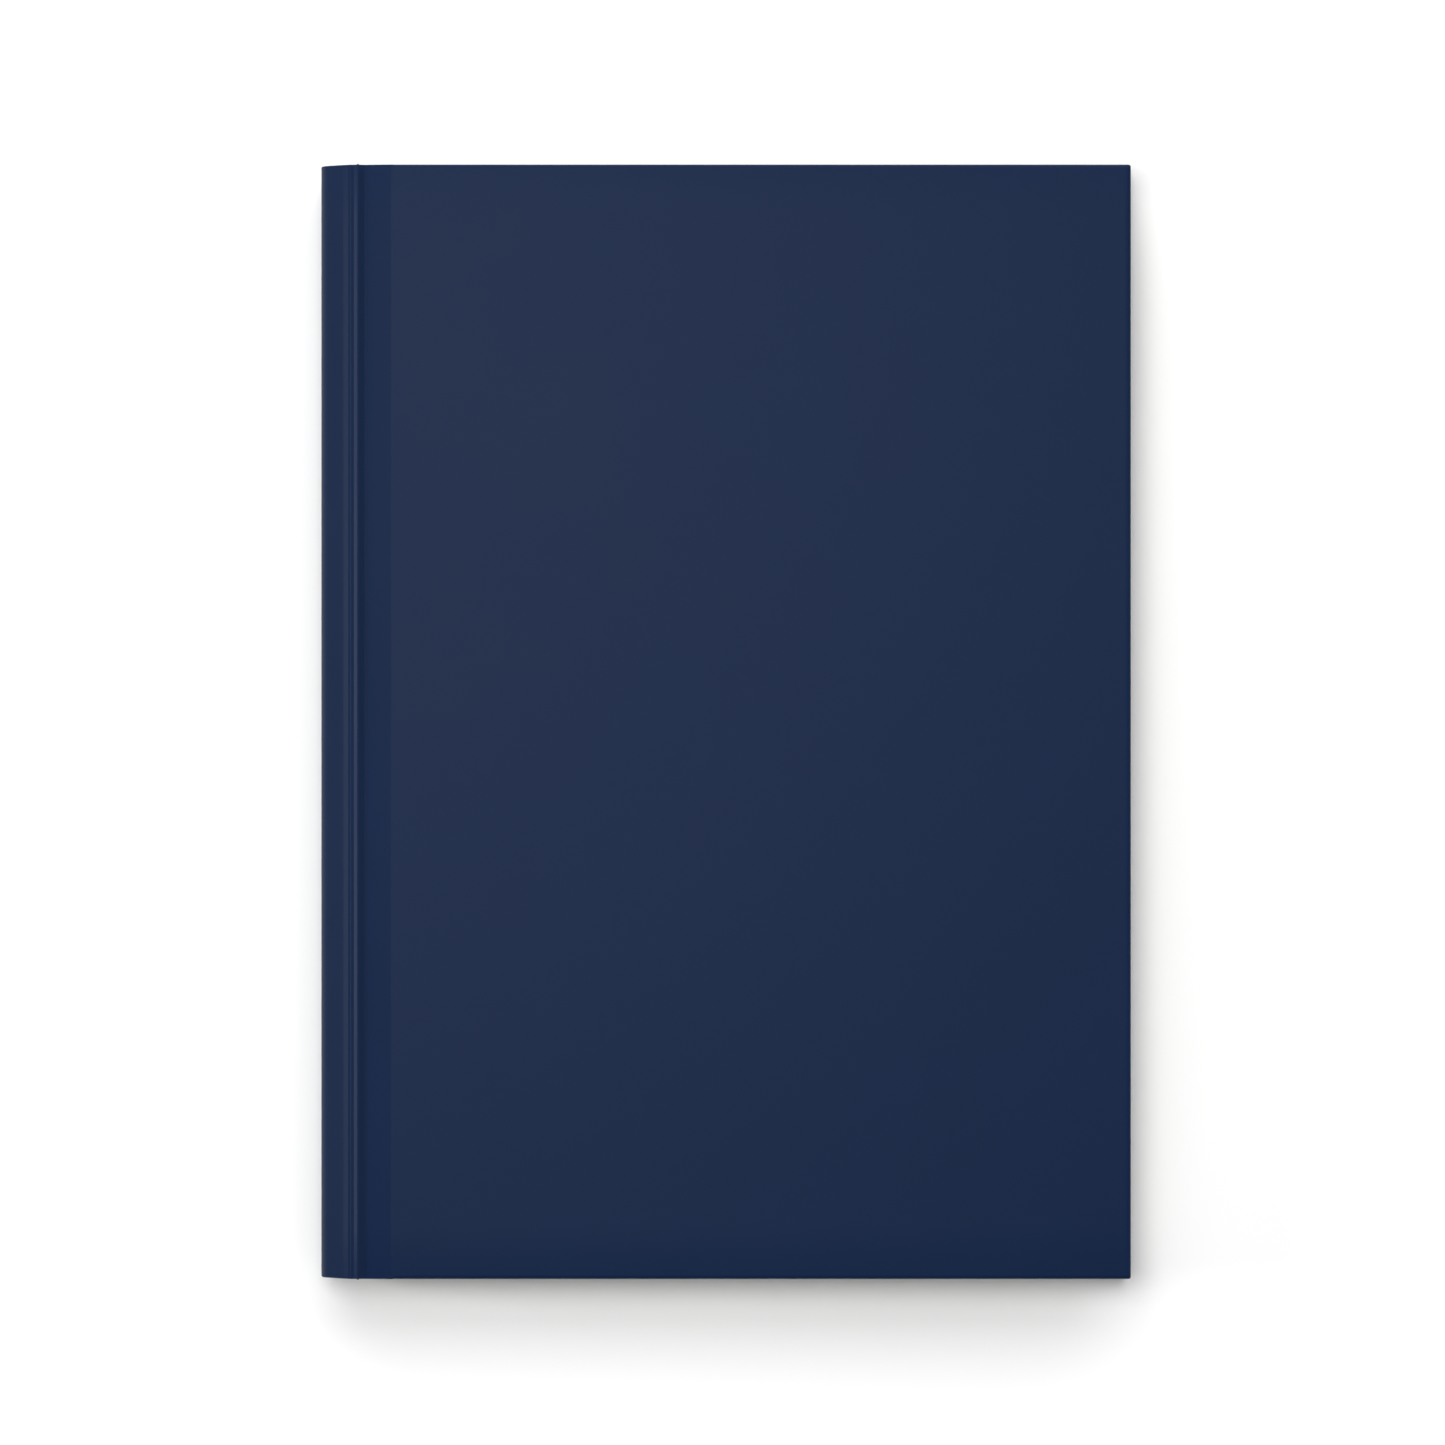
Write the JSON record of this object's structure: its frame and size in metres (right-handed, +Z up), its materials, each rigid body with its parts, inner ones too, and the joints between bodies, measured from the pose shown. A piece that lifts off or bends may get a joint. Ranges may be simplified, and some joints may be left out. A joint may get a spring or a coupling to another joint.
{
  "type": "pilot logbook",
  "caption": "Closed hardcover pilot logbook: plain boards on grooved cloth-style hinges, rounded hollow spine, sewn page block that opens at both ends.",
  "frame": {"origin": "middle of the closed book's footprint, on the plane the back cover rests on", "axes": "+X from the spine to the fore-edge, +Y from the tail to the head, +Z up through the front cover"},
  "size_m": [0.148, 0.2032, 0.015],
  "materials": {
    "cover_sheet": "matt laminated",
    "greyboard": "matt",
    "page": "matt",
    "endpaper": "matt",
    "mull": "open weave",
    "kraft": "matt",
    "thread": "twisted",
    "band": "woven"
  },
  "bodies": {
    "text_block": {"section_01": "page", "section_02": "page", "section_03": "page", "section_04": "page", "section_05": "page", "section_06": "page", "section_07": "page", "section_08": "page", "section_09": "page", "section_10": "page", "sewing_thread": "thread", "mull": "mull", "spine_liner": "kraft", "head_band": "band", "tail_band": "band", "spine_inlay": "greyboard", "spine_wrap": "cover_sheet", "front_joint_wrap": "cover_sheet", "front_joint_mull": "mull", "front_joint_endpaper": "endpaper", "back_joint_wrap": "cover_sheet", "back_joint_mull": "mull", "back_joint_endpaper": "endpaper", "front_flyleaf_stub": "endpaper", "back_flyleaf_stub": "endpaper"},
    "front_cover": {"front_board": "greyboard", "front_wrap": "cover_sheet", "front_pastedown": "endpaper", "front_mull_flange": "mull"},
    "back_cover": {"back_board": "greyboard", "back_wrap": "cover_sheet", "back_pastedown": "endpaper", "back_mull_flange": "mull"},
    "front_flyleaf_body": {"front_flyleaf": "endpaper"},
    "back_flyleaf_body": {"back_flyleaf": "endpaper"},
    "leaf_01_body": {"leaf_01": "page"},
    "leaf_02_body": {"leaf_02": "page"},
    "leaf_03_body": {"leaf_03": "page"},
    "leaf_04_body": {"leaf_04": "page"},
    "leaf_05_body": {"leaf_05": "page"},
    "leaf_06_body": {"leaf_06": "page"},
    "leaf_80_body": {"leaf_80": "page"},
    "leaf_79_body": {"leaf_79": "page"}
  },
  "joints": [
    {"name": "front_cover_hinge", "type": "hinge", "parent": "text_block", "child": "front_cover", "pos_m": [-0.06605, 0, 0.01475], "axis": [0, -1, 0], "range_deg": [0, 178], "deforming": ["front_joint_wrap", "front_joint_mull", "front_joint_endpaper"]},
    {"name": "back_cover_hinge", "type": "hinge", "parent": "text_block", "child": "back_cover", "pos_m": [-0.06605, 0, 0.00025], "axis": [0, 1, 0], "range_deg": [0, 178], "deforming": ["back_joint_wrap", "back_joint_mull", "back_joint_endpaper"]},
    {"name": "front_flyleaf_hinge", "type": "hinge", "parent": "text_block", "child": "front_flyleaf_body", "pos_m": [-0.06015, 0, 0.01257], "axis": [0, -1, 0], "range_deg": [0, 144.3]},
    {"name": "leaf_01_hinge", "type": "hinge", "parent": "text_block", "child": "leaf_01_body", "pos_m": [-0.05975, 0, 0.0124], "axis": [0, -1, 0], "range_deg": [0, 123.7]},
    {"name": "leaf_02_hinge", "type": "hinge", "parent": "text_block", "child": "leaf_02_body", "pos_m": [-0.05935, 0, 0.01226], "axis": [0, -1, 0], "range_deg": [0, 103.1]},
    {"name": "leaf_03_hinge", "type": "hinge", "parent": "text_block", "child": "leaf_03_body", "pos_m": [-0.05895, 0, 0.01211], "axis": [0, -1, 0], "range_deg": [0, 82.5]},
    {"name": "leaf_04_hinge", "type": "hinge", "parent": "text_block", "child": "leaf_04_body", "pos_m": [-0.05855, 0, 0.01196], "axis": [0, -1, 0], "range_deg": [0, 61.9]},
    {"name": "leaf_05_hinge", "type": "hinge", "parent": "text_block", "child": "leaf_05_body", "pos_m": [-0.05815, 0, 0.01182], "axis": [0, -1, 0], "range_deg": [0, 41.3]},
    {"name": "leaf_06_hinge", "type": "hinge", "parent": "text_block", "child": "leaf_06_body", "pos_m": [-0.05775, 0, 0.01167], "axis": [0, -1, 0], "range_deg": [0, 20.7]},
    {"name": "back_flyleaf_hinge", "type": "hinge", "parent": "text_block", "child": "back_flyleaf_body", "pos_m": [-0.06015, 0, 0.00243], "axis": [0, 1, 0], "range_deg": [0, 144.3]},
    {"name": "leaf_80_hinge", "type": "hinge", "parent": "text_block", "child": "leaf_80_body", "pos_m": [-0.05975, 0, 0.0026], "axis": [0, 1, 0], "range_deg": [0, 96.2]},
    {"name": "leaf_79_hinge", "type": "hinge", "parent": "text_block", "child": "leaf_79_body", "pos_m": [-0.05935, 0, 0.00275], "axis": [0, 1, 0], "range_deg": [0, 48.2]}
  ],
  "couplings": [
    {"joint": "front_flyleaf_hinge", "follows": "front_cover_hinge", "ratio": 0.81},
    {"joint": "leaf_01_hinge", "follows": "front_cover_hinge", "ratio": 0.6943},
    {"joint": "leaf_02_hinge", "follows": "front_cover_hinge", "ratio": 0.5786},
    {"joint": "leaf_03_hinge", "follows": "front_cover_hinge", "ratio": 0.4629},
    {"joint": "leaf_04_hinge", "follows": "front_cover_hinge", "ratio": 0.3471},
    {"joint": "leaf_05_hinge", "follows": "front_cover_hinge", "ratio": 0.2314},
    {"joint": "leaf_06_hinge", "follows": "front_cover_hinge", "ratio": 0.1157},
    {"joint": "back_flyleaf_hinge", "follows": "back_cover_hinge", "ratio": 0.81},
    {"joint": "leaf_80_hinge", "follows": "back_cover_hinge", "ratio": 0.54},
    {"joint": "leaf_79_hinge", "follows": "back_cover_hinge", "ratio": 0.27}
  ]
}
